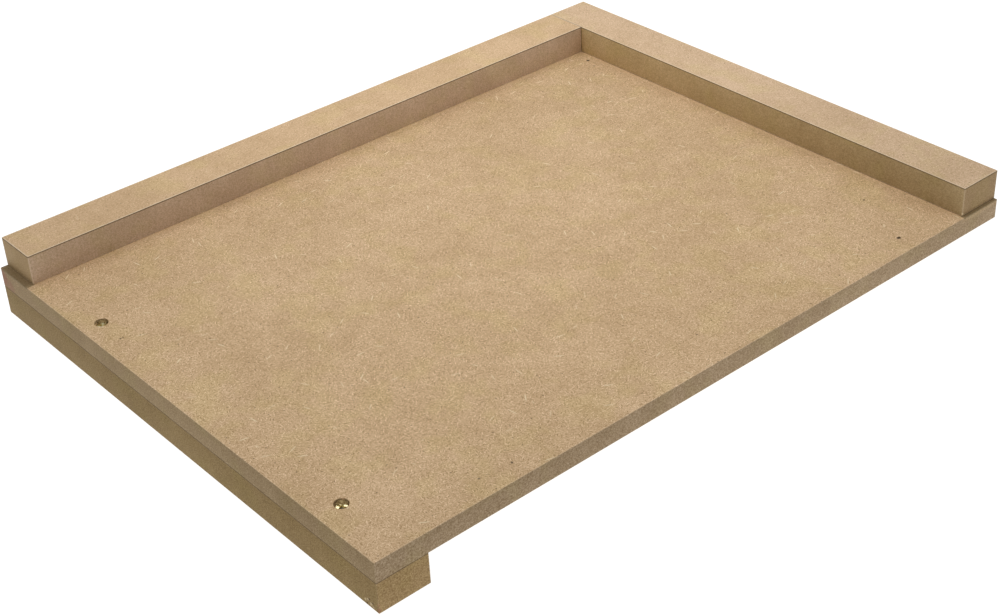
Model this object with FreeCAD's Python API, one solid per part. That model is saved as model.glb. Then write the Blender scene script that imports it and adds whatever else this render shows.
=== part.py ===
# Bench hook for working on large sheets. A fibreboard base carries two fences on top: a long one
# down its left side, and a short one across its back that the long one butts against. Under the
# front edge a hook bar hangs down and catches the front of a workbench. Countersunk screws hold
# the strips. The hook bar's are driven down through the board, and the fences' are driven up
# through it from below, so that the fences are clear of heads.
#
# Millimetres. +X is to the worker's right, +Y away from the worker, +Z up. The origin is on the
# ground in the middle of the whole object: mid-width, mid-length, level with the hook bar's foot.
import FreeCAD, Part

import math
import os

Vector = FreeCAD.Vector

# The base board and the strips, sawn from sheets of two stock thicknesses.
board_width = 345.0
board_length = 450.0
board_thickness = 12.0
strip_width = 30.0
strip_thickness = 18.0

# The fences stop this far short of the board's edges.
side_fence_setback = 4.5
back_fence_setback = 2.0

# Sanding breaks the sawn edges with a narrow flat, set back this far on each side.
arris = 0.25

# Countersunk screw with a flat head. A short upright rim stands between the flat and the cone.
# Its thread is left plain, as a shank of the thread's outer size.
head_diameter = 7.0
head_rim_height = 0.3
head_cone_angle = 90.0
thread_diameter = 3.5
tip_length = 5.0
tip_flat_diameter = 0.4

# Cross recess for the driver: four wings that taper down to a small flat floor.
recess_span = 4.2
recess_wing_width = 1.0
recess_depth = 1.8
recess_floor_span = 2.0
recess_floor_wing_width = 0.7

# How the screws are let in.
head_sink = 1.6
head_clearance = 0.25
shank_clearance = 0.25
thread_clearance = 0.05
pilot_spare_depth = 1.0
drill_point_angle = 118.0
wood_past_screw_tip = 3.4

# Where the screws stand along the strips. The hook bar's two were set by eye, each its own way off
# the bar's middle, towards the front.
hook_screw_from_left = 90.5
hook_screw_from_right = 43.0
left_hook_screw_off_middle = 2.8
right_hook_screw_off_middle = 0.7
back_screw_from_ends = 45.0
side_screw_from_ends = 42.0

# Cutters stand this far out of the face that they cut.
cutter_overrun = 1.0

# Levels, from the ground up.
ground = 0.0
underside = ground + strip_thickness
work_face = underside + board_thickness
fence_top = work_face + strip_thickness

# Plan positions.
left = -board_width / 2
right = board_width / 2
front = -board_length / 2
back = board_length / 2
hook_inner = front + strip_width
side_fence_inner = left + strip_width
side_fence_front = front + side_fence_setback
back_fence_inner = back - strip_width
back_fence_right = right - back_fence_setback

# The screw runs through the board and stops short of the strip's far face.
head_radius = head_diameter / 2
shank_radius = thread_diameter / 2
screw_length = board_thickness + strip_thickness - head_sink - wood_past_screw_tip
rim_foot = -head_rim_height


def block(low, high):
    """A square-edged block between its lowest and highest corners."""
    return Part.makeBox(*(high - low), low)


def eased(solid):
    """The solid with every edge sanded."""
    return solid.makeChamfer(arris, solid.Edges)


def outline(corners):
    """A closed outline of straight runs."""
    return Part.makePolygon(corners + corners[:1])


def turned(profile):
    """A solid turned about Z from (radius, height) pairs."""
    face = Part.Face(outline([Vector(radius, 0, height) for radius, height in profile]))
    return face.revolve(Vector(), Vector(0, 0, 1), 360)


def cone_height(radius, smaller_radius, cone_angle):
    """The height over which a cone of this full angle narrows from one radius to another."""
    return (radius - smaller_radius) / math.tan(math.radians(cone_angle / 2))


def cross_recess():
    """The cutter for the driver's recess, under a head whose flat is at z = 0: two tapered blades
    that cross at right angles."""
    blade = Part.makeWedge(
        -recess_floor_span / 2,
        -recess_depth,
        -recess_floor_wing_width / 2,
        -recess_wing_width / 2,
        -recess_span / 2,
        recess_floor_span / 2,
        0,
        recess_floor_wing_width / 2,
        recess_wing_width / 2,
        recess_span / 2,
    )
    blade.rotate(Vector(), Vector(1, 0, 0), 90)
    crossing_blade = blade.copy()
    crossing_blade.rotate(Vector(), Vector(0, 0, 1), 90)
    return blade.fuse(crossing_blade)


def screw():
    """A screw that points down, with its head's flat at z = 0."""
    cone_foot = rim_foot - cone_height(head_radius, shank_radius, head_cone_angle)
    body = turned(
        [
            (0, 0),
            (head_radius, 0),
            (head_radius, rim_foot),
            (shank_radius, cone_foot),
            (shank_radius, tip_length - screw_length),
            (tip_flat_diameter / 2, -screw_length),
            (0, -screw_length),
        ]
    )
    return body.cut(cross_recess()).Solids[0]


def screw_pocket():
    """The cutter for the board: a counterbore, the head's conical seat and a clearance hole.
    The head's flat is at z = 0."""
    bore_radius = head_radius + head_clearance
    hole_radius = shank_radius + shank_clearance
    seat_top = rim_foot + cone_height(bore_radius, head_radius, head_cone_angle)
    seat_foot = seat_top - cone_height(bore_radius, hole_radius, head_cone_angle)
    bottom = head_sink - board_thickness - cutter_overrun
    return turned(
        [
            (0, head_sink + cutter_overrun),
            (bore_radius, head_sink + cutter_overrun),
            (bore_radius, seat_top),
            (hole_radius, seat_foot),
            (hole_radius, bottom),
            (0, bottom),
        ]
    )


def screw_hole():
    """The cutter for a strip: the blind hole that the thread has cut, with the drill's point.
    The head's flat is at z = 0."""
    radius = shank_radius + thread_clearance
    mouth = head_sink - board_thickness + cutter_overrun
    depth = -screw_length - pilot_spare_depth
    point_top = depth + cone_height(radius, 0, drill_point_angle)
    return turned([(0, mouth), (radius, mouth), (radius, point_top), (0, depth)])


def placed(shape, seat):
    """A screw or its cutter, at a seat: the spot of the head's flat and the way it is driven."""
    spot, driven_up = seat
    shape = shape.copy()
    if driven_up:
        shape.rotate(Vector(), Vector(1, 0, 0), 180)
    shape.translate(spot)
    return shape


def marked(solid, footprints):
    """The solid with the footprints of what stands on it as faces of their own."""
    pieces = solid.generalFuse([Part.Face(footprint) for footprint in footprints])[1]
    return pieces[0][0].Solids[0]


def level_footprint(x0, x1, y0, y1, height):
    """A strip's footprint on the board."""
    corners = [(x0, y0), (x1, y0), (x1, y1), (x0, y1)]
    return outline([Vector(x, y, height) for x, y in corners])


def hook_seat(x, off_middle):
    """A seat in the work face, over the hook bar."""
    middle = (front + hook_inner) / 2
    return Vector(x, middle - off_middle, work_face - head_sink), False


def back_fence_seat(x):
    """A seat in the underside, below the back fence."""
    return Vector(x, (back_fence_inner + back) / 2, underside + head_sink), True


def side_fence_seat(y):
    """A seat in the underside, below the side fence."""
    return Vector((left + side_fence_inner) / 2, y, underside + head_sink), True


hook_seats = {
    "hook_screw_left": hook_seat(left + hook_screw_from_left, left_hook_screw_off_middle),
    "hook_screw_right": hook_seat(right - hook_screw_from_right, right_hook_screw_off_middle),
}
back_fence_seats = {
    "back_fence_screw_left": back_fence_seat(left + back_screw_from_ends),
    "back_fence_screw_right": back_fence_seat(back_fence_right - back_screw_from_ends),
}
side_fence_seats = {
    "side_fence_screw_front": side_fence_seat(side_fence_front + side_screw_from_ends),
    "side_fence_screw_middle": side_fence_seat((side_fence_front + back_fence_inner) / 2),
    "side_fence_screw_rear": side_fence_seat(back_fence_inner - side_screw_from_ends),
}
all_seats = {**hook_seats, **back_fence_seats, **side_fence_seats}


def bored(solid, cutter, seats):
    """The solid with one cutter's shape taken out at each seat."""
    return solid.cut([placed(cutter, seat) for seat in seats.values()]).Solids[0]


def base_board():
    """The board, with a sunk seat for every screw and the strips' footprints marked on it."""
    board = eased(block(Vector(left, front, underside), Vector(right, back, work_face)))
    board = bored(board, screw_pocket(), all_seats)
    footprints = [
        level_footprint(left, side_fence_inner, side_fence_front, back_fence_inner, work_face),
        level_footprint(left, back_fence_right, back_fence_inner, back, work_face),
        level_footprint(left, right, front, hook_inner, underside),
    ]
    return marked(board, footprints)


def hook_bar():
    """The strip that hangs under the front edge."""
    bar = eased(block(Vector(left, front, ground), Vector(right, hook_inner, underside)))
    return bored(bar, screw_hole(), hook_seats)


def back_fence():
    """The fence across the back, which runs right through the far left corner."""
    fence = eased(block(Vector(left, back_fence_inner, work_face), Vector(back_fence_right, back, fence_top)))
    fence = bored(fence, screw_hole(), back_fence_seats)
    butt = [
        Vector(left, back_fence_inner, work_face),
        Vector(side_fence_inner, back_fence_inner, work_face),
        Vector(side_fence_inner, back_fence_inner, fence_top),
        Vector(left, back_fence_inner, fence_top),
    ]
    return marked(fence, [outline(butt)])


def side_fence():
    """The fence down the left side, with its far end flat against the back fence."""
    low = Vector(left, side_fence_front, work_face)
    high = Vector(side_fence_inner, back_fence_inner, fence_top)
    return bored(eased(block(low, high)), screw_hole(), side_fence_seats)


def main():
    nodes = {
        "base_board": base_board(),
        "hook_bar": hook_bar(),
        "back_fence": back_fence(),
        "side_fence": side_fence(),
    }
    one_screw = screw()
    for name, seat in all_seats.items():
        nodes[name] = placed(one_screw, seat)
    os.makedirs("parts", exist_ok=True)
    for name, shape in nodes.items():
        shape.exportStep(f"parts/{name}.step")
        print(name, shape.ShapeType, "valid" if shape.isValid() else "NOT VALID", round(shape.Volume, 2))


main()
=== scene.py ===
import math
import random

import bmesh
import bpy
from mathutils import Matrix, Vector


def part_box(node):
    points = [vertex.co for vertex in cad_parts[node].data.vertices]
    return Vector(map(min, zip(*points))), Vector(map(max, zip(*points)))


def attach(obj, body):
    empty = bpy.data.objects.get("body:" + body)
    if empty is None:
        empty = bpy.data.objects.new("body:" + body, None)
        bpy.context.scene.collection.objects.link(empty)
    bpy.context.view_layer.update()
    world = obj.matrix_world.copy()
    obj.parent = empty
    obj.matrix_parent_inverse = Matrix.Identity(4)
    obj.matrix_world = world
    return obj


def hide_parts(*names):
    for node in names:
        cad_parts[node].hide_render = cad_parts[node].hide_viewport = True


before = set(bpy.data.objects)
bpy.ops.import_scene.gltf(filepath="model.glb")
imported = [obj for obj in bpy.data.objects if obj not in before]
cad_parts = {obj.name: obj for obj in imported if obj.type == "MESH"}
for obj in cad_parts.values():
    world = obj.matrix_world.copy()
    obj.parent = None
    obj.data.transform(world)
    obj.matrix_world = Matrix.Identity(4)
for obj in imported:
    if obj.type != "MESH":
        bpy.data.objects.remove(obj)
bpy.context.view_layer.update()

# Real sizes are written in millimetres, and the model is in metres.
MM = 0.001
TAU = 2 * math.pi
BOXES = {name: [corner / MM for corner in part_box(name)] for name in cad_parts}
BOARD_LOW, BOARD_HIGH = BOXES["base_board"]
SIDE_LOW, SIDE_HIGH = BOXES["side_fence"]
BACK_LOW, BACK_HIGH = BOXES["back_fence"]
INNER_CORNER = (SIDE_HIGH.x, BACK_LOW.y, BOARD_HIGH.z)
SCREWS = [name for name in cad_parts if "screw" in name]

# The board's parts have the frame's own boxes. Their arrises are sanded to small rounds.
ARRIS = 0.38
ARRIS_STEPS = 4

# The screws, with their flats at height nil. The head's flat rounds off to its rim.
HEAD_RADIUS = 3.5
HEAD_ROUND = ((2.7, -0.02), (3.1, -0.09), (3.35, -0.18), (3.5, -0.3))
CREST_RADIUS = 1.75
CORE_RADIUS = 1.2
NECK_LENGTH = 7.0
TIP_LENGTH = 5.0
TIP_RADIUS = 0.2
THREAD_PITCH = 1.6
THREAD_STEPS = 18
RIDGE_FOOT_WIDTH = 0.7
RIDGE_ROOT = 0.1

# The cross recess for the driver.
RECESS_SPAN = 4.8
RECESS_WING = 1.3
RECESS_DEPTH = 1.9
RECESS_FLOOR_SPAN = 1.8
RECESS_FLOOR_WING = 0.6

# How the screws are let in: the counterbore, the clearance hole and the hole that a thread cuts.
BORE_RADIUS = 3.75
HOLE_RADIUS = 2.0
THREAD_HOLE_RADIUS = 1.8
SPARE_DEPTH = 1.0
OVERRUN = 1.0
CHIP_OVERRUN = 0.5
ROUND_STEPS = 48

# Sawdust caught in the hook bar's screw mouths, banked up against their far left side. It starts
# this far from the screw's axis and rises to the wall, with lumps on it and its foot in the head.
DUST_BEARING = math.radians(140.6)
DUST_STARTS = {"hook_screw_left": 2.3, "hook_screw_right": 1.5}
DUST_RISE = 1.0
DUST_LUMPS = 0.25
DUST_DEPTH = 0.04
DUST_CLEARANCE = 0.03
DUST_SPREAD = 0.99

# The burr round a mouth: how wide and how high it is on the whole, how much its width varies, how
# far over its width the crest stands, how deep its foot goes in, and its waves to a turn.
LIP_WIDTH = 0.55
LIP_RISE = 0.12
LIP_VARIES = 0.35
LIP_CREST = 0.3
LIP_ROOT = 0.1
LIP_CLEARANCE = 0.02
LIP_WAVES = (2, 3, 5, 8, 13)

# Turning edges sharper than this are shown as edges.
SMOOTH_LIMIT = math.radians(12)

# The hook bar's two screws are seen, so each recess is turned as it stands.
RECESS_TURNS = {"hook_screw_left": 50.0, "hook_screw_right": 24.0}
HIDDEN_RECESS_TURN = 45.0

# Fibreboard. A darker spot loses more of its green and still more of its blue, which keeps its hue.
# Fibres and a pink blush multiply the tone that they lie in.
GREEN_POWER = 1.17
BLUE_POWER = 1.54
PALE_FIBRE = (1.5, 1.6, 1.82, 1)
DARK_FIBRE = (0.52, 0.456, 0.33, 1)
PINK_BLUSH = (1.01, 0.985, 1.07, 1)
FIBRE_WIDTH = 0.48

# Between these two shares of squareness, a round turns from one side's tone to the next one's.
HALF_SQUARE = 0.5
NEARLY_SQUARE = 0.8

# The way over the face from its far left to its near right, along which painted light grades
# the face, and where the board starts and ends along it.
SLANT_WAY = (0.9, -0.43, 0)
SLANT_START = -212.0
SLANT_END = 252.0

# Where soft marks are at their full strength, as a share of how far they reach.
SHADE_CORE = 0.2
SPOT_CORE = 0.55

# A fibre in its cell: the thickness of a layer of cells to the fibre's width, the shares of its
# length at which it is gone and at full strength, and the strength of the faintest one.
LAYER_THICKNESS = 1.6
FIBRE_GONE = 1.1
FIBRE_FULL = 0.5
FAINTEST_FIBRE = 0.45

# How much less fibres and the painted highlight on an arris show on a sawn edge.
FIBRES_ON_EDGE = 0.42
ARRIS_LIGHT_ON_EDGE = 0.35

# How far the painted highlight along an arris and the plain dark line under it reach, and from
# where they are at full strength.
ARRIS_LIGHT_REACH = 0.8
ARRIS_LIGHT_FULL = 0.3
DARK_LINE_REACH = 1.1
DARK_LINE_FULL = 0.4

# The floor's width in metres.
FLOOR_SIZE = 40.0

# Settings of a Mix node that multiplies one colour by another.
PRODUCT = {"data_type": "RGBA", "blend_type": "MULTIPLY"}


def linear(hex_colour):
    """An sRGB hex value as linear red, green, blue and alpha."""
    channels = [int(hex_colour[i:i + 2], 16) / 255 for i in (1, 3, 5)]
    return [c / 12.92 if c <= 0.04045 else ((c + 0.055) / 1.055) ** 2.4 for c in channels] + [1.0]


def add(tree, kind, sockets=None, **settings):
    """Adds a node. Its settings are given by name. Each socket gets a value, an output to link to,
    or a node, which stands for its first live output. Where sockets share a name they go by number:
    a Mix has its share at 0, two values at 2 and 3 and two colours at 6 and 7, and a MapRange reads
    from 1 to 2 and gives from 3 to 4."""
    node = tree.nodes.new("ShaderNode" + kind)
    for name, value in settings.items():
        setattr(node, name, value)
    for name, value in (sockets or {}).items():
        if isinstance(value, bpy.types.Node):
            value = next(output for output in value.outputs if output.enabled)
        if isinstance(value, bpy.types.NodeSocket):
            tree.links.new(value, node.inputs[name])
        else:
            node.inputs[name].default_value = value
    return node


def new_material(name):
    """An empty material, its node tree and its output node."""
    material = bpy.data.materials.new(name)
    material.use_nodes = True
    material.node_tree.nodes.clear()
    return material, material.node_tree, add(material.node_tree, "OutputMaterial")


def in_millimetres(tree):
    """The place on the object, in millimetres."""
    coordinates = add(tree, "TexCoord").outputs["Object"]
    return add(tree, "VectorMath", {0: coordinates, "Scale": 1 / MM}, operation="SCALE")


def wandering(tree, place, size_mm, reach_mm):
    """The place pushed about by soft noise, so that what is drawn there has uneven outlines."""
    drift = add(tree, "TexNoise", {"Vector": place, "Scale": 1 / size_mm, "Detail": 1.0})
    middle = (0.5, 0.5, 0.5)
    centred = add(tree, "VectorMath", {0: drift.outputs["Color"], 1: middle}, operation="SUBTRACT")
    push = add(tree, "VectorMath", {0: centred, "Scale": 2 * reach_mm}, operation="SCALE")
    return add(tree, "VectorMath", {0: place, 1: push}, operation="ADD")


def cloud(tree, place, size_mm, amount, stretch=(1, 1, 1), shift=0.0):
    """A shade about one, from soft noise whose lumps are about this many millimetres across."""
    scale = [1 / (size_mm * s) for s in stretch]
    moved = add(tree, "Mapping", {"Vector": place, "Scale": scale, "Location": [shift] * 3})
    noise = add(tree, "TexNoise", {"Vector": moved, "Scale": 1.0, "Detail": 2.0, "Roughness": 0.6})
    span = {"Value": noise, 1: 0.3, 2: 0.7, 3: 1 - amount, 4: 1 + amount}
    return add(tree, "MapRange", span, interpolation_type="SMOOTHSTEP")


def fibres(tree, place, spacing_mm, length_mm, width_mm, share, shift, depth=1.0):
    """Short fibres that lie level at random angles, one to a cell. Only a share of cells has one. At
    a depth of nil they are drawn in full however far they lie under the face."""
    scale = [1 / spacing_mm, 1 / spacing_mm, 1 / (LAYER_THICKNESS * width_mm)]
    cells = add(tree, "Mapping", {"Vector": place, "Scale": scale, "Location": [shift] * 3})
    cell = add(tree, "TexVoronoi", {"Vector": cells, "Scale": 1.0})
    chance = add(tree, "SeparateColor", {0: cell.outputs["Color"]}).outputs
    arm = add(tree, "VectorMath", {0: cells, 1: cell.outputs["Position"]}, operation="SUBTRACT")
    angle = add(tree, "Math", {0: chance[0], 1: TAU}, operation="MULTIPLY")
    turned_arm = add(tree, "VectorRotate", {"Vector": arm, "Angle": angle}, rotation_type="Z_AXIS")
    stretch = [2 * spacing_mm / length_mm, 2 * spacing_mm / width_mm, depth]
    shaped = add(tree, "VectorMath", {0: turned_arm, 1: stretch}, operation="MULTIPLY")
    away = add(tree, "VectorMath", {0: shaped}, operation="LENGTH")
    span = {"Value": away, 1: FIBRE_GONE, 2: FIBRE_FULL}
    body = add(tree, "MapRange", span, interpolation_type="SMOOTHSTEP")
    present = add(tree, "Math", {0: chance[1], 1: share}, operation="LESS_THAN")
    strength = add(tree, "MapRange", {"Value": chance[2], 3: FAINTEST_FIBRE, 4: 1.0})
    drawn = add(tree, "Math", {0: body, 1: present}, operation="MULTIPLY")
    return add(tree, "Math", {0: drawn, 1: strength}, operation="MULTIPLY")


def outwards(tree, place, box):
    """Millimetres out from a block's planes, along each of the three ways. Inside it they are less
    than nil."""
    low, high = box
    offset = add(tree, "VectorMath", {0: place, 1: (low + high) / 2}, operation="SUBTRACT")
    reach = add(tree, "VectorMath", {0: offset}, operation="ABSOLUTE")
    return add(tree, "VectorMath", {0: reach, 1: (high - low) / 2}, operation="SUBTRACT")


def from_edge(tree, place, box):
    """Millimetres to the nearest edge of a block. On a face, the nearest of the block's planes is at
    nil, so the middle one of the three distances is the way to the edge."""
    x, y, z = add(tree, "SeparateXYZ", {0: outwards(tree, place, box)}).outputs
    lesser = add(tree, "Math", {0: x, 1: y}, operation="MINIMUM")
    greater = add(tree, "Math", {0: x, 1: y}, operation="MAXIMUM")
    nearer = add(tree, "Math", {0: greater, 1: z}, operation="MINIMUM")
    middle = add(tree, "Math", {0: lesser, 1: nearer}, operation="MAXIMUM")
    return add(tree, "Math", {0: middle, 1: -1.0}, operation="MULTIPLY")


def beside(tree, place, patches):
    """Soft shade in and around blocks, each given as its box, how far the shade reaches past it and
    its strength."""
    total = 0.0
    for box, reach, strength in patches:
        out = add(tree, "VectorMath", {0: outwards(tree, place, box), 1: (0, 0, 0)}, operation="MAXIMUM")
        away = add(tree, "VectorMath", {0: out}, operation="LENGTH")
        span = {"Value": away, 1: reach, 2: SHADE_CORE * reach, 4: strength}
        mark = add(tree, "MapRange", span, interpolation_type="SMOOTHSTEP")
        total = add(tree, "Math", {0: total, 1: mark}, operation="MAXIMUM")
    return total


def spots(tree, place, marks):
    """Round marks, each given as its place, radius and strength."""
    total = 0.0
    for spot, radius, strength in marks:
        away = add(tree, "VectorMath", {0: place, 1: spot}, operation="DISTANCE")
        span = {"Value": away, 1: radius, 2: SPOT_CORE * radius, 4: strength}
        mark = add(tree, "MapRange", span, interpolation_type="SMOOTHSTEP")
        total = add(tree, "Math", {0: total, 1: mark}, operation="MAXIMUM")
    return total


def facing_ways(tree):
    """How squarely the surface faces left or right, and up or down, each from nil to one."""
    normal = add(tree, "TexCoord").outputs["Normal"]
    squareness = add(tree, "VectorMath", {0: normal}, operation="ABSOLUTE")
    x, y, z = add(tree, "SeparateXYZ", {0: squareness}).outputs
    to_side = add(tree, "MapRange", {"Value": x, 1: HALF_SQUARE, 2: NEARLY_SQUARE})
    on_face = add(tree, "MapRange", {"Value": z, 1: HALF_SQUARE, 2: NEARLY_SQUARE})
    return to_side, on_face


def board_grain(tree, place, bent, on_face, coarse, edge_coarse):
    """The shade of upright saw marks and of specks in the edges, and of felt in the face."""
    saw_amount = 0.01 + 0.025 * edge_coarse
    speck_amount = 0.36 * edge_coarse
    saw = cloud(tree, place, size_mm=1.1, amount=saw_amount, stretch=(1, 1, 24), shift=3.0)
    specks = cloud(tree, bent, size_mm=0.6, amount=speck_amount, stretch=(1.5, 1.5, 1), shift=11.0)
    sawn = add(tree, "Math", {0: saw, 1: specks}, operation="MULTIPLY")
    felt = cloud(tree, bent, size_mm=0.7, amount=0.16 * coarse, shift=17.0)
    return add(tree, "Mix", {0: on_face, 2: sawn, 3: felt})


def painted_slow_shade(tree, place, on_face, painted_falloff, painted_slant):
    """The painted shade that changes over the whole board, standing in for light that varies over it.
    The falloff is its amount on the edges, and the nearest and the farthest distance from the fences'
    inner corner: the edges are painted darker away from that corner, where less bounced light
    reaches. The slant is its amount of painted light over the face."""
    amount, nearest, farthest = painted_falloff
    away = add(tree, "VectorMath", {0: place, 1: INNER_CORNER}, operation="DISTANCE")
    falloff_shade = add(tree, "MapRange", {"Value": away, 1: nearest, 2: farthest, 3: 1 + amount, 4: 1 - amount})
    across = add(tree, "VectorMath", {0: place, 1: SLANT_WAY}, operation="DOT_PRODUCT")
    span = {"Value": across, 1: SLANT_START, 2: SLANT_END, 3: 1 - painted_slant, 4: 1 + painted_slant}
    slant_light = add(tree, "MapRange", span)
    return add(tree, "Mix", {0: on_face, 2: falloff_shade, 3: slant_light})


def mottled(tree, place, tone, grain, painted_slow):
    """A tone with its grain, its painted slow shade, soft clouds and a pink blush here and there."""
    broad = cloud(tree, place, size_mm=14.0, amount=0.04)
    broader = cloud(tree, place, size_mm=60.0, amount=0.04, shift=7.0)
    clouds = add(tree, "Math", {0: broad, 1: broader}, operation="MULTIPLY")
    shade = add(tree, "Math", {0: clouds, 1: grain}, operation="MULTIPLY")
    green = add(tree, "Math", {0: shade, 1: GREEN_POWER}, operation="POWER")
    blue = add(tree, "Math", {0: shade, 1: BLUE_POWER}, operation="POWER")
    grained = add(tree, "CombineColor", {0: shade, 1: green, 2: blue})
    shading = add(tree, "VectorMath", {0: grained, "Scale": painted_slow}, operation="SCALE")
    blush = cloud(tree, place, size_mm=22.0, amount=1.0, shift=29.0)
    pinker = add(tree, "Mix", {0: 1.0, 6: tone, 7: PINK_BLUSH}, **PRODUCT)
    blushed = add(tree, "Mix", {0: blush, 6: tone, 7: pinker}, data_type="RGBA")
    return add(tree, "Mix", {0: 1.0, 6: blushed, 7: shading}, **PRODUCT)


def fine_fibres(tree, bent, on_face, coarse, edge_coarse):
    """How much of a pale fibre and how much of a dark one there is. Real ones are a tenth of a
    millimetre thick, which is too fine to show, so they are drawn about five times as coarse."""
    strength = add(tree, "MapRange", {"Value": on_face, 3: FIBRES_ON_EDGE * edge_coarse, 4: coarse})
    pale = fibres(tree, bent, spacing_mm=1.9, length_mm=2.6, width_mm=FIBRE_WIDTH, share=0.85, shift=0.0)
    dark = fibres(tree, bent, spacing_mm=1.8, length_mm=2.5, width_mm=FIBRE_WIDTH, share=0.9, shift=57.0)
    pale_share = add(tree, "Math", {0: pale, 1: strength}, operation="MULTIPLY")
    dark_share = add(tree, "Math", {0: dark, 1: strength}, operation="MULTIPLY")
    return pale_share, dark_share


def straws(tree, place, on_face, coarse):
    """A few long pale straws in the face. They are drawn coarser than real ones too."""
    size = {"spacing_mm": 12.0, "length_mm": 6.5, "width_mm": 0.75}
    drawn = fibres(tree, place, **size, share=0.16, shift=31.0, depth=0.0)
    reach = add(tree, "Mix", {0: on_face, 2: 0.0, 3: 1.35 * coarse ** 2})
    return add(tree, "Math", {0: drawn, 1: reach}, operation="MULTIPLY")


def bark_flecks(tree, bent, on_face):
    """Short dark flecks of bark, fewer to be seen in the edges."""
    drawn = fibres(tree, bent, spacing_mm=9.0, length_mm=1.1, width_mm=0.9, share=0.5, shift=83.0)
    reach = add(tree, "Mix", {0: on_face, 2: 0.2, 3: 0.7})
    return add(tree, "Math", {0: drawn, 1: reach}, operation="MULTIPLY")


def painted_arris_highlight(tree, torn, box, on_face, arris_light):
    """A painted highlight along each arris, fainter on its sawn side."""
    share = add(tree, "Mix", {0: on_face, 2: ARRIS_LIGHT_ON_EDGE * arris_light, 3: arris_light})
    span = {"Value": from_edge(tree, torn, box), 1: ARRIS_LIGHT_REACH, 2: ARRIS_LIGHT_FULL, 4: share}
    return add(tree, "MapRange", span, interpolation_type="SMOOTHSTEP")


def dark_line_under_arris(tree, place, box, on_face, under_arris_dark):
    """A line along the top of each sawn edge, just under the arris."""
    level = add(tree, "SeparateXYZ", {0: place}).outputs[2]
    share = add(tree, "Mix", {0: on_face, 2: under_arris_dark, 3: 0.0})
    top = box[1].z
    span = {"Value": level, 1: top - DARK_LINE_REACH, 2: top - DARK_LINE_FULL, 4: share}
    return add(tree, "MapRange", span, interpolation_type="SMOOTHSTEP")


def fibreboard(
    name, box, face, x_edge, y_edge, coarse, edge_coarse,
    seam_shade=(), ledge_shadows=(), lit_bores=(), pits=(), flakes=(), stains=(),
    lit_beside=(), arris_light=0.15, under_arris_dark=0.0, painted_falloff=(0.0, 0.0, 350.0), painted_slant=0.0,
):
    """Bare medium-density fibreboard. The pressed face is a felt of short pale and dark fibres. The
    sawn edges are browner, with faint upright saw marks, and part of their tone is painted light and
    shade by the way that they face. A dark line runs along their top, just under the arris. The
    arrises carry a pale painted highlight, the seams carry painted shade, and painted light pales the
    face beside other parts, lifting the shade at their feet. Painted shade darkens the edges away from
    the fences' inner corner, in place of the light that bounces about there. The slant is painted
    light that makes the face paler from its far left to its near right."""
    material, tree, output = new_material(name)
    place = in_millimetres(tree)
    bent = wandering(tree, place, size_mm=4.0, reach_mm=0.5)
    torn = wandering(tree, place, size_mm=0.9, reach_mm=0.5)

    # The tone goes by the way that the surface faces. The sawn edges are browner than the face. Some of
    # that, and the lighter or darker tone of edges facing one way rather than the other, is painted light
    # and shade.
    to_side, on_face = facing_ways(tree)
    edge = add(tree, "Mix", {0: to_side, 6: linear(y_edge), 7: linear(x_edge)}, data_type="RGBA")
    tone = add(tree, "Mix", {0: on_face, 6: edge, 7: linear(face)}, data_type="RGBA")
    grain = board_grain(tree, place, bent, on_face, coarse, edge_coarse)
    painted_slow = painted_slow_shade(tree, place, on_face, painted_falloff, painted_slant)
    shaded = mottled(tree, place, tone, grain, painted_slow)

    pale_share, dark_share = fine_fibres(tree, bent, on_face, coarse, edge_coarse)
    paled = add(tree, "Mix", {0: 1.0, 6: shaded, 7: PALE_FIBRE}, **PRODUCT)
    darkened = add(tree, "Mix", {0: 1.0, 6: shaded, 7: DARK_FIBRE}, **PRODUCT)
    with_dark = add(tree, "Mix", {0: dark_share, 6: shaded, 7: darkened}, data_type="RGBA")
    colour = add(tree, "Mix", {0: pale_share, 6: with_dark, 7: paled}, data_type="RGBA")

    # What lies on that, from the lowest up.
    pitted = spots(tree, torn, pits)
    layers = [
        # Painted light that pales the face beside other parts, lifting the shade at their feet.
        (beside(tree, place, lit_beside), "#f0ce9e"),
        (straws(tree, place, on_face, coarse), "#f2dcb6"),
        (bark_flecks(tree, bent, on_face), "#4c3618"),
        # Painted highlight along the arrises.
        (painted_arris_highlight(tree, torn, box, on_face, arris_light), "#f0dcc0"),
        # A plain darker line along the top of each sawn edge.
        (dark_line_under_arris(tree, place, box, on_face, under_arris_dark), "#57431f"),
        (spots(tree, torn, stains), "#8e4a44"),
        # Painted light on the walls inside the seen screw mouths.
        (spots(tree, place, lit_bores), "#d0aa6c"),
        # Painted shadow on the ledges past the fences' ends.
        (beside(tree, torn, ledge_shadows), "#665936"),
        # Painted shade along the seams where the parts meet.
        (beside(tree, place, seam_shade), "#463010"),
        (spots(tree, torn, flakes), "#ecd8b2"),
        (pitted, "#241608"),
    ]
    for mask, tint in layers:
        colour = add(tree, "Mix", {0: mask, 6: colour, 7: linear(tint)}, data_type="RGBA")

    raised = add(tree, "Math", {0: pale_share, 1: dark_share}, operation="SUBTRACT")
    sunk = add(tree, "Math", {0: pitted, 1: -2.0, 2: raised}, operation="MULTIPLY_ADD")
    height = add(tree, "Math", {0: sunk, 1: grain}, operation="ADD")
    bump = add(tree, "Bump", {"Height": height, "Strength": 0.4, "Distance": 0.05 * MM})
    skin = {"Base Color": colour, "Roughness": 0.7, "IOR": 1.48, "Specular IOR Level": 0.2, "Normal": bump}
    shader = add(tree, "BsdfPrincipled", skin)
    tree.links.new(shader.outputs[0], output.inputs[0])
    return material


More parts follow.
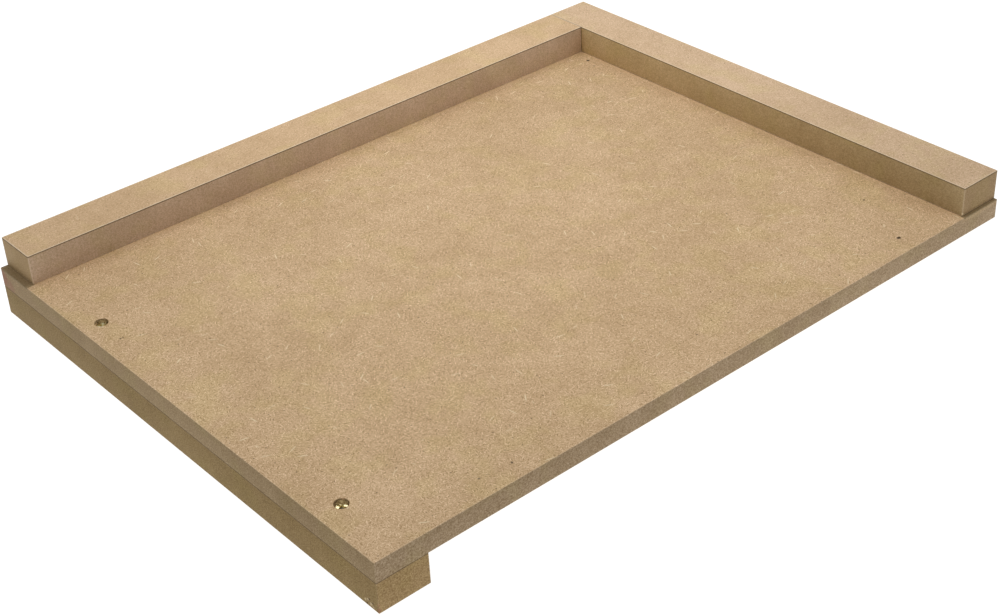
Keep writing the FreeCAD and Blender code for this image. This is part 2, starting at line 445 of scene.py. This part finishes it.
def plated_steel(head_shade):
    """Zinc plate passivated yellow, as on wood screws. It is a bright pale gold with a soft grain,
    under dull dark painted shade in places."""
    material, tree, output = new_material("yellow zinc plate")
    place = in_millimetres(tree)
    tint = cloud(tree, place, size_mm=1.2, amount=0.5, shift=2.0)
    plate = add(tree, "Mix", {0: tint, 6: linear("#d0bf8a"), 7: linear("#e6d9ac")}, data_type="RGBA")
    unevenness = cloud(tree, place, size_mm=0.5, amount=0.25)
    plate_roughness = add(tree, "Math", {0: unevenness, 1: 0.24}, operation="MULTIPLY")
    # Painted shade: where it lies, the plate turns dark, dull and bare of metal.
    shade_mask = spots(tree, wandering(tree, place, size_mm=0.8, reach_mm=0.35), head_shade)
    colour = add(tree, "Mix", {0: shade_mask, 6: plate, 7: linear("#2e2008")}, data_type="RGBA")
    roughness = add(tree, "Mix", {0: shade_mask, 2: plate_roughness, 3: 0.75})
    bare = add(tree, "Math", {0: 1.0, 1: shade_mask}, operation="SUBTRACT")
    shader = add(tree, "BsdfPrincipled", {"Base Color": colour, "Metallic": bare, "Roughness": roughness})
    tree.links.new(shader.outputs[0], output.inputs[0])
    return material


def block(box):
    """A sanded block that fills one of the frame's boxes."""
    low, high = box
    shape = bmesh.new()
    fit = Matrix.Translation((low + high) / 2) @ Matrix.Diagonal((*(high - low), 1))
    bmesh.ops.create_cube(shape, size=1.0, matrix=fit)
    bmesh.ops.bevel(
        shape,
        geom=shape.edges[:],
        offset=ARRIS * MM,
        offset_type="OFFSET",
        segments=ARRIS_STEPS,
        profile=0.5,
        affect="EDGES",
        material=-1,
    )
    return shape


def turned(profile):
    """A shape turned about Z from (radius, height) pairs that start and end on the axis."""
    shape = bmesh.new()
    corners = [shape.verts.new((radius * MM, 0, height * MM)) for radius, height in profile]
    sides = [shape.edges.new(pair) for pair in zip(corners, corners[1:])]
    bmesh.ops.spin(
        shape,
        geom=corners + sides,
        cent=(0, 0, 0),
        axis=(0, 0, 1),
        angle=TAU,
        steps=ROUND_STEPS,
        use_merge=True,
    )
    bmesh.ops.remove_doubles(shape, verts=shape.verts, dist=0.001 * MM)
    bmesh.ops.recalc_face_normals(shape, faces=shape.faces)
    return shape


def joined(shapes):
    """Several shapes as one."""
    whole = bmesh.new()
    for shape in shapes:
        mesh = bpy.data.meshes.new("passing")
        shape.to_mesh(mesh)
        shape.free()
        whole.from_mesh(mesh)
        bpy.data.meshes.remove(mesh)
    return whole


def cut(shape, cutter):
    """The shape with another taken out of it."""
    solids = []
    for solid in (shape, cutter):
        mesh = bpy.data.meshes.new("passing")
        solid.to_mesh(mesh)
        solid.free()
        solids.append(bpy.data.objects.new("passing", mesh))
        bpy.context.scene.collection.objects.link(solids[-1])
    body, tool = solids
    boolean = body.modifiers.new("cut", "BOOLEAN")
    boolean.operation = "DIFFERENCE"
    boolean.solver = "EXACT"
    boolean.use_self = True
    boolean.object = tool
    left_over = body.evaluated_get(bpy.context.evaluated_depsgraph_get())
    result = bmesh.new()
    result.from_mesh(left_over.to_mesh())
    left_over.to_mesh_clear()
    for solid in solids:
        mesh = solid.data
        bpy.data.objects.remove(solid)
        bpy.data.meshes.remove(mesh)
    return result


def keep(shape, name, material, node_name=None):
    """A finished piece of the object. It stands for a CAD node where one is named."""
    for face in shape.faces:
        face.smooth = True
    for side in shape.edges:
        side.smooth = side.is_manifold and side.calc_face_angle() < SMOOTH_LIMIT
    mesh = bpy.data.meshes.new(name)
    shape.to_mesh(mesh)
    shape.free()
    mesh.materials.append(material)
    piece = bpy.data.objects.new(name, mesh)
    bpy.context.scene.collection.objects.link(piece)
    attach(piece, "root")
    if node_name:
        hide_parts(node_name)


def head_flat(node_name):
    """The middle of a screw's head, on its flat, and whether the screw is driven up."""
    low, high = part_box(node_name)
    driven_up = high.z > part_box("base_board")[1].z
    flat_height = low.z if driven_up else high.z
    return Vector(((low.x + high.x) / 2, (low.y + high.y) / 2, flat_height)), driven_up


def seated(shape, node_name):
    """A screw or its cutter, made with the head's flat at height nil, moved to its screw's place."""
    flat, driven_up = head_flat(node_name)
    way = Matrix.Rotation(math.pi if driven_up else 0.0, 4, "X")
    turn = math.radians(RECESS_TURNS.get(node_name, HIDDEN_RECESS_TURN))
    shape.transform(Matrix.Translation(flat) @ way @ Matrix.Rotation(turn, 4, "Z"))
    return shape


def screw_length(node_name):
    """A screw's length in millimetres, from the frame."""
    low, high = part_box(node_name)
    return (high.z - low.z) / MM


def head_sink(node_name):
    """How far the head's flat lies under the board's face, in millimetres."""
    flat, driven_up = head_flat(node_name)
    board_low, board_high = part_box("base_board")
    return (flat.z - board_low.z if driven_up else board_high.z - flat.z) / MM


def board_thickness():
    """The board's thickness in millimetres, from the frame."""
    board_low, board_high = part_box("base_board")
    return (board_high.z - board_low.z) / MM


def recess_blade(turn):
    """One of the two tapered blades whose cross is the driver's recess."""
    shape = bmesh.new()
    bmesh.ops.create_cube(shape, size=2.0)
    for corner in shape.verts:
        top = corner.co.z > 0
        span = RECESS_SPAN if top else RECESS_FLOOR_SPAN
        wing = RECESS_WING if top else RECESS_FLOOR_WING
        height = 0.0 if top else -RECESS_DEPTH
        corner.co = Vector((corner.co.x * span / 2, corner.co.y * wing / 2, height)) * MM
    roof = [face for face in shape.faces if face.normal.z > 0.5]
    raised = bmesh.ops.extrude_face_region(shape, geom=roof)["geom"]
    raised_corners = [part for part in raised if isinstance(part, bmesh.types.BMVert)]
    bmesh.ops.translate(shape, verts=raised_corners, vec=(0, 0, OVERRUN * MM))
    bmesh.ops.delete(shape, geom=roof, context="FACES")
    bmesh.ops.rotate(shape, verts=shape.verts, matrix=Matrix.Rotation(turn, 3, "Z"))
    bmesh.ops.recalc_face_normals(shape, faces=shape.faces)
    return shape


def thread(length):
    """The screw's helical ridge, whose foot is sunk into the core."""
    start = -(length - TIP_LENGTH)
    turns = int((length - NECK_LENGTH - TIP_LENGTH) / THREAD_PITCH)
    shape = bmesh.new()
    foot = CORE_RADIUS - RIDGE_ROOT
    half = RIDGE_FOOT_WIDTH / 2
    section = ((foot, start), (CREST_RADIUS, start + half), (foot, start + 2 * half))
    corners = [shape.verts.new((radius * MM, 0, height * MM)) for radius, height in section]
    sides = [shape.edges.new(pair) for pair in zip(corners, corners[1:] + corners[:1])]
    steps = THREAD_STEPS * turns
    bmesh.ops.spin(
        shape,
        geom=corners + sides,
        cent=(0, 0, 0),
        axis=(0, 0, 1),
        dvec=(0, 0, THREAD_PITCH * turns * MM / steps),
        angle=TAU * turns,
        steps=steps,
    )
    bmesh.ops.holes_fill(shape, edges=shape.edges, sides=3)
    bmesh.ops.recalc_face_normals(shape, faces=shape.faces)
    return shape


def screw(length):
    """A countersunk wood screw with a cross recess."""
    cone_top = HEAD_ROUND[-1][1]
    body = turned([
        (0, 0),
        *HEAD_ROUND,
        (CREST_RADIUS, cone_top - (HEAD_RADIUS - CREST_RADIUS)),
        (CREST_RADIUS, -NECK_LENGTH),
        (CORE_RADIUS, -NECK_LENGTH - (CREST_RADIUS - CORE_RADIUS)),
        (CORE_RADIUS, TIP_LENGTH - length),
        (TIP_RADIUS, -length),
        (0, -length),
    ])
    for turn in (0, math.pi / 2):
        body = cut(body, recess_blade(turn))
    return joined([body, thread(length)])


def pocket(node_name):
    """What a screw takes out of the board."""
    sink = head_sink(node_name)
    bottom = sink - board_thickness() - OVERRUN
    seat_top = HEAD_ROUND[-1][1] + (BORE_RADIUS - HEAD_RADIUS)
    seat_foot = seat_top - (BORE_RADIUS - HOLE_RADIUS)
    profile = [
        (0, sink + OVERRUN),
        (BORE_RADIUS, sink + OVERRUN),
        (BORE_RADIUS, seat_top),
        (HOLE_RADIUS, seat_foot),
        (HOLE_RADIUS, bottom),
        (0, bottom),
    ]
    return seated(turned(profile), node_name)


def thread_hole(node_name):
    """What a screw takes out of its strip."""
    mouth = head_sink(node_name) - board_thickness() + OVERRUN
    depth = -screw_length(node_name) - SPARE_DEPTH
    profile = [
        (0, mouth),
        (THREAD_HOLE_RADIUS, mouth),
        (THREAD_HOLE_RADIUS, depth + THREAD_HOLE_RADIUS / 2),
        (0, depth),
    ]
    return seated(turned(profile), node_name)


def rim_chips(node_name, chips):
    """Small flakes torn out of the board round a screw's mouth. Each has its bearing round the hole
    in degrees, its radius and its depth."""
    cones = []
    face = head_sink(node_name)
    top = face + CHIP_OVERRUN
    for bearing, radius, depth in chips:
        cone = seated(turned([(0, top), (radius, top), (radius, face), (0, face - depth)]), node_name)
        aim = Matrix.Rotation(math.radians(bearing), 3, "Z") @ Vector((BORE_RADIUS * MM, 0, 0))
        bmesh.ops.translate(cone, verts=cone.verts, vec=aim)
        cones.append(cone)
    return cones


def torn_lip(node_name, seed):
    """The low, uneven burr of fibres that the countersink pushed up round a screw's mouth. It is
    spun one millimetre wide and high, and then each corner is drawn in to its own width and height."""
    rng = random.Random(seed)
    waves = [(count, rng.uniform(0, TAU), rng.uniform(0.4, 1.0)) for count in LIP_WAVES]
    inner = BORE_RADIUS + LIP_CLEARANCE
    shape = bmesh.new()
    section = ((inner, -LIP_ROOT), (inner + LIP_CREST, 1.0), (inner + 1.0, -LIP_ROOT))
    corners = [shape.verts.new((radius * MM, 0, height * MM)) for radius, height in section]
    sides = [shape.edges.new(pair) for pair in zip(corners, corners[1:] + corners[:1])]
    bmesh.ops.spin(
        shape,
        geom=corners + sides,
        cent=(0, 0, 0),
        axis=(0, 0, 1),
        angle=TAU,
        steps=2 * ROUND_STEPS,
        use_merge=True,
    )
    for corner in shape.verts:
        angle = math.atan2(corner.co.y, corner.co.x)
        swell = sum(weight * math.sin(count * angle + phase) for count, phase, weight in waves) / len(waves)
        spread = (corner.co.xy.length / MM - inner) * (LIP_WIDTH + LIP_VARIES * swell)
        corner.co.xy = corner.co.xy.normalized() * (inner + spread) * MM
        if corner.co.z > 0:
            corner.co.z = LIP_RISE * (1 + swell) * MM
    bmesh.ops.recalc_face_normals(shape, faces=shape.faces)
    mouth = head_flat(node_name)[0]
    mouth.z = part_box("base_board")[1].z
    bmesh.ops.translate(shape, verts=shape.verts, vec=mouth)
    return shape


def dust_heap(node_name, seed):
    """A lumpy bank of sawdust on the far part of a screw's head, which rises to the mouth's wall."""
    rng = random.Random(seed)
    radius = BORE_RADIUS - DUST_CLEARANCE
    start = DUST_STARTS[node_name]
    half_width = DUST_SPREAD * math.sqrt(radius ** 2 - start ** 2)
    shape = bmesh.new()
    bmesh.ops.create_grid(shape, x_segments=20, y_segments=8, size=1.0)
    for corner in shape.verts:
        across = corner.co.x * half_width
        reach = math.sqrt(radius ** 2 - across ** 2)
        away = start + (corner.co.y + 1) / 2 * (reach - start)
        rise = DUST_RISE * (away - start) / (radius - start) + rng.uniform(0.0, DUST_LUMPS)
        corner.co = Vector((away, across, rise)) * MM
    lid = shape.faces[:]
    floor = bmesh.ops.extrude_face_region(shape, geom=lid)["geom"]
    for corner in floor:
        if isinstance(corner, bmesh.types.BMVert):
            corner.co.z = -DUST_DEPTH * MM
    bmesh.ops.recalc_face_normals(shape, faces=shape.faces)
    shape.transform(Matrix.Translation(head_flat(node_name)[0]) @ Matrix.Rotation(DUST_BEARING, 4, "Z"))
    return shape


def marks_on(node_name, list_of_marks):
    """Marks on a part's front, side or face. Each is given by its place, where None is the outer
    plane that it lies on, and by its radius and strength."""
    low, high = BOXES[node_name]
    outer = (high.x, low.y, high.z)
    return [
        ([outer[i] if place[i] is None else place[i] for i in range(3)], radius, strength)
        for place, radius, strength in list_of_marks
    ]


# Knocks and pits in the board's face.
pits = marks_on("base_board", [
    ((-129.1, 188.2, None), 1.2, 1.0),
    ((-120.0, 185.5, None), 0.7, 0.6),
    ((160.1, 152.0, None), 1.5, 0.9),
    ((119.8, 171.2, None), 0.9, 0.7),
    ((74.6, 104.8, None), 0.7, 0.5),
    ((147.9, 4.0, None), 0.8, 0.5),
    ((161.2, -134.5, None), 0.9, 0.7),
    ((159.5, -153.4, None), 0.9, 0.6),
    ((-61.3, -213.4, None), 0.8, 0.7),
    ((-61.4, -211.9, None), 0.7, 0.6),
])
# Painted light on the sawn wood inside the two screw mouths that are seen: their walls are
# painted paler than the shade in them would leave them.
seen_heads = [head_flat(name)[0] / MM for name in RECESS_TURNS]
lit_bores = [(head + Vector((0, 0, 0.4)), 4.3, 0.8) for head in seen_heads]
# Painted shade in the recesses of those two screws, and on the right one's near and right rim,
# where the head lies dark in shade.
head_shade = [(head - Vector((0, 0, 1.8)), 1.5, 0.9) for head in seen_heads]
head_shade += [
    (Vector((132.6, -209.0, 28.3)), 1.7, 0.95),
    (Vector((131.8, -211.6, 28.3)), 1.9, 0.95),
]
# Pale torn fibres on the near rims of their mouths.
rim_flakes = marks_on("base_board", [
    ((-79.3, -215.6, None), 1.1, 0.6),
    ((-77.9, -214.5, None), 0.8, 0.5),
    ((134.2, -210.6, None), 0.8, 0.6),
])
# A red smear at the board's front left corner.
stains = marks_on("base_board", [
    ((-171.5, None, 24.0), 7.0, 0.45),
    ((-165.0, None, 20.0), 7.0, 0.3),
])
# Torn flakes and pits by the hook bar's near corner.
hook_flakes = marks_on("hook_bar", [
    ((162.6, None, 2.6), 1.0, 0.4),
    ((164.5, None, 3.8), 0.9, 0.45),
    ((166.7, None, 2.4), 1.2, 0.45),
    ((168.4, None, 1.5), 0.8, 0.35),
])
hook_pits = marks_on("hook_bar", [
    ((163.6, None, 1.2), 0.7, 0.8),
    ((165.8, None, 4.8), 0.6, 0.7),
    ((168.2, None, 3.6), 0.7, 0.7),
])
# A reddish knock down the foot of the hook bar's near corner.
hook_stains = marks_on("hook_bar", [
    ((None, -224.9, 2.0), 1.7, 0.35),
    ((None, -224.9, 5.0), 1.3, 0.25),
])
# A torn flake at the foot of the back fence's near corner.
fence_flakes = marks_on("back_fence", [((None, 195.2, 31.6), 1.0, 0.6)])

# Narrow ledges of the board's face, past the fences' ends, carry a painted shadow that the
# fences' ends would cast on them.
front_ledge = (
    Vector((SIDE_LOW.x, BOARD_LOW.y, BOARD_HIGH.z)),
    Vector((SIDE_HIGH.x, SIDE_LOW.y, BOARD_HIGH.z)),
)
right_ledge = (
    Vector((BACK_HIGH.x, BACK_LOW.y, BOARD_HIGH.z)),
    Vector((BOARD_HIGH.x, BACK_HIGH.y, BOARD_HIGH.z)),
)

board_material = fibreboard(
    "board fibreboard",
    BOXES["base_board"],
    face="#d0b285",
    x_edge="#a08a67",
    y_edge="#98825b",
    coarse=0.9,
    edge_coarse=0.75,
    # Painted shade along the seams where the parts meet.
    seam_shade=[
        (BOXES["side_fence"], 0.4, 0.05),
        (BOXES["back_fence"], 0.4, 0.3),
        (BOXES["hook_bar"], 0.45, 0.65),
    ],
    # Painted light beside the fences, lifting the shade at their feet.
    lit_beside=[(BOXES["side_fence"], 4.5, 0.26), (BOXES["back_fence"], 4.5, 0.28)],
    # Painted shadow on the ledges past the fences' ends.
    ledge_shadows=[(front_ledge, 1.2, 0.6), (right_ledge, 1.2, 0.6)],
    # Painted light inside the seen screw mouths.
    lit_bores=lit_bores,
    pits=pits,
    flakes=rim_flakes,
    stains=stains,
    # Painted shade on the edges away from the inner corner, and painted light slanting over the face.
    painted_falloff=(0.09, 300.0, 520.0),
    painted_slant=0.1,
)
side_material = fibreboard(
    "side fence fibreboard",
    BOXES["side_fence"],
    face="#d1b387",
    x_edge="#c9b190",
    y_edge="#a68d62",
    coarse=0.55,
    edge_coarse=0.42,
    # Painted shade at the seams.
    seam_shade=[(BOXES["base_board"], 0.4, 0.12), (BOXES["back_fence"], 0.5, 0.45)],
    # Painted highlight along the arrises.
    arris_light=0.7,
    under_arris_dark=0.8,
    # Painted shade on the edges away from the inner corner.
    painted_falloff=(0.04, 0.0, 350.0),
)
back_material = fibreboard(
    "back fence fibreboard",
    BOXES["back_fence"],
    face="#d4b890",
    x_edge="#a98e63",
    y_edge="#baa374",
    coarse=0.55,
    edge_coarse=0.42,
    # Painted shade at the seams.
    seam_shade=[(BOXES["base_board"], 0.4, 0.3), (BOXES["side_fence"], 0.5, 0.45)],
    flakes=fence_flakes,
    # Painted highlight along the arrises.
    arris_light=0.6,
    under_arris_dark=0.7,
    # Painted shade on the edges away from the inner corner.
    painted_falloff=(0.18, 0.0, 350.0),
)
hook_material = fibreboard(
    "hook bar fibreboard",
    BOXES["hook_bar"],
    face="#c9ae84",
    x_edge="#9e8456",
    y_edge="#8e7749",
    coarse=0.6,
    edge_coarse=0.75,
    # Painted shade at the seams.
    seam_shade=[(BOXES["base_board"], 0.45, 0.55)],
    flakes=hook_flakes,
    pits=hook_pits,
    stains=hook_stains,
)
dust_material = fibreboard(
    "packed sawdust",
    BOXES["base_board"],
    face="#a48c5a",
    x_edge="#a48c5a",
    y_edge="#a48c5a",
    coarse=1.5,
    edge_coarse=1.5,
)
screw_material = plated_steel(head_shade)

pockets = [pocket(name) for name in SCREWS]
chips = rim_chips("hook_screw_right", [
    (130, 1.1, 0.9),
    (152, 0.7, 0.6),
    (108, 0.8, 0.5),
    (205, 0.5, 0.4),
    (60, 0.4, 0.3),
])
chips += rim_chips("hook_screw_left", [
    (120, 0.6, 0.5),
    (170, 0.5, 0.4),
    (40, 0.4, 0.3),
    (250, 0.4, 0.3),
])
board = cut(block(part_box("base_board")), joined(pockets + chips))
keep(board, "board_with_screw_seats", board_material, "base_board")

strips = {
    "hook_bar": ("hook_fibreboard", hook_material),
    "side_fence": ("fence_fibreboard", side_material),
    "back_fence": ("fence_fibreboard", back_material),
}
for node_name, (slot, material) in strips.items():
    own = [name for name in SCREWS if name.startswith(node_name.replace("_bar", ""))]
    strip = cut(block(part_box(node_name)), joined([thread_hole(name) for name in own]))
    keep(strip, node_name + "_strip", material, node_name)

for node_name in SCREWS:
    one_screw = seated(screw(screw_length(node_name)), node_name)
    keep(one_screw, node_name + "_threaded", screw_material, node_name)

for seed, node_name in enumerate(RECESS_TURNS):
    keep(torn_lip(node_name, seed), "torn_lip_at_" + node_name, board_material)
    keep(dust_heap(node_name, seed), "dust_at_" + node_name, dust_material)


def make_floor():
    """A pale light table, with a glow of its own. It touches the foot of the hook bar and the far
    lower edge of the board, as a bench would if the hook bar wasn't over its edge. It is clear from
    behind, so that the underside can be seen."""
    board_low, board_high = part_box("base_board")
    hook_low, hook_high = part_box("hook_bar")
    slope = math.atan2(board_low.z - hook_low.z, board_high.y - hook_high.y)
    shape = bmesh.new()
    bmesh.ops.create_grid(shape, x_segments=1, y_segments=1, size=FLOOR_SIZE / 2)
    bmesh.ops.rotate(shape, verts=shape.verts, matrix=Matrix.Rotation(slope, 3, "X"))
    bmesh.ops.translate(shape, verts=shape.verts, vec=(0, hook_high.y, hook_low.z))
    mesh = bpy.data.meshes.new("floor")
    shape.to_mesh(mesh)
    shape.free()
    floor = bpy.data.objects.new("floor", mesh)
    bpy.context.scene.collection.objects.link(floor)
    material, tree, output = new_material("pale floor")
    paint = add(tree, "BsdfDiffuse", {"Color": linear("#808080")})
    glow = add(tree, "Emission", {"Color": (1, 1, 1, 1), "Strength": 0.96})
    lit = add(tree, "AddShader", {0: paint, 1: glow})
    behind = add(tree, "NewGeometry").outputs["Backfacing"]
    both = add(tree, "MixShader", {0: behind, 1: lit, 2: add(tree, "BsdfTransparent")})
    tree.links.new(both.outputs[0], output.inputs[0])
    mesh.materials.append(material)


def make_light(name, place, aim, size, power):
    """A square softbox."""
    data = bpy.data.lights.new(name, "AREA")
    data.shape = "SQUARE"
    data.size = size
    data.energy = power
    light = bpy.data.objects.new(name, data)
    light.location = place
    light.rotation_euler = (Vector(aim) - Vector(place)).to_track_quat("-Z", "Y").to_euler()
    bpy.context.scene.collection.objects.link(light)


def make_sky(strength):
    """Even white light from all round."""
    world = bpy.data.worlds.new("studio")
    world.use_nodes = True
    world.node_tree.nodes.clear()
    output = add(world.node_tree, "OutputWorld")
    background = add(world.node_tree, "Background", {"Color": (1, 1, 1, 1), "Strength": strength})
    world.node_tree.links.new(background.outputs[0], output.inputs[0])
    bpy.context.scene.world = world


def make_camera():
    """The photograph's camera, as found from the object's straight edges."""
    azimuth = math.radians(50.66)
    elevation = math.radians(33.22)
    roll = math.radians(-2.97)
    place = Vector((0.6703, -0.5542, 0.5492))
    back = Vector((
        math.sin(azimuth) * math.cos(elevation),
        -math.cos(azimuth) * math.cos(elevation),
        math.sin(elevation),
    ))
    level = Vector((math.cos(azimuth), math.sin(azimuth), 0))
    upright = back.cross(level)
    right = level * math.cos(roll) + upright * math.sin(roll)
    up = upright * math.cos(roll) - level * math.sin(roll)
    data = bpy.data.cameras.new("camera")
    data.sensor_width = 36.0
    data.lens = 64.23
    camera = bpy.data.objects.new("camera", data)
    camera.matrix_world = Matrix((right, up, back)).transposed().to_4x4()
    camera.location = place
    bpy.context.scene.collection.objects.link(camera)
    bpy.context.scene.camera = camera


make_floor()
make_light("overhead softbox", place=(-0.165, 0.116, 0.54), aim=(-0.15, 0.1, 0), size=0.5, power=1.7)
make_sky(0.48)
make_camera()
bpy.context.scene.view_settings.view_transform = "Standard"
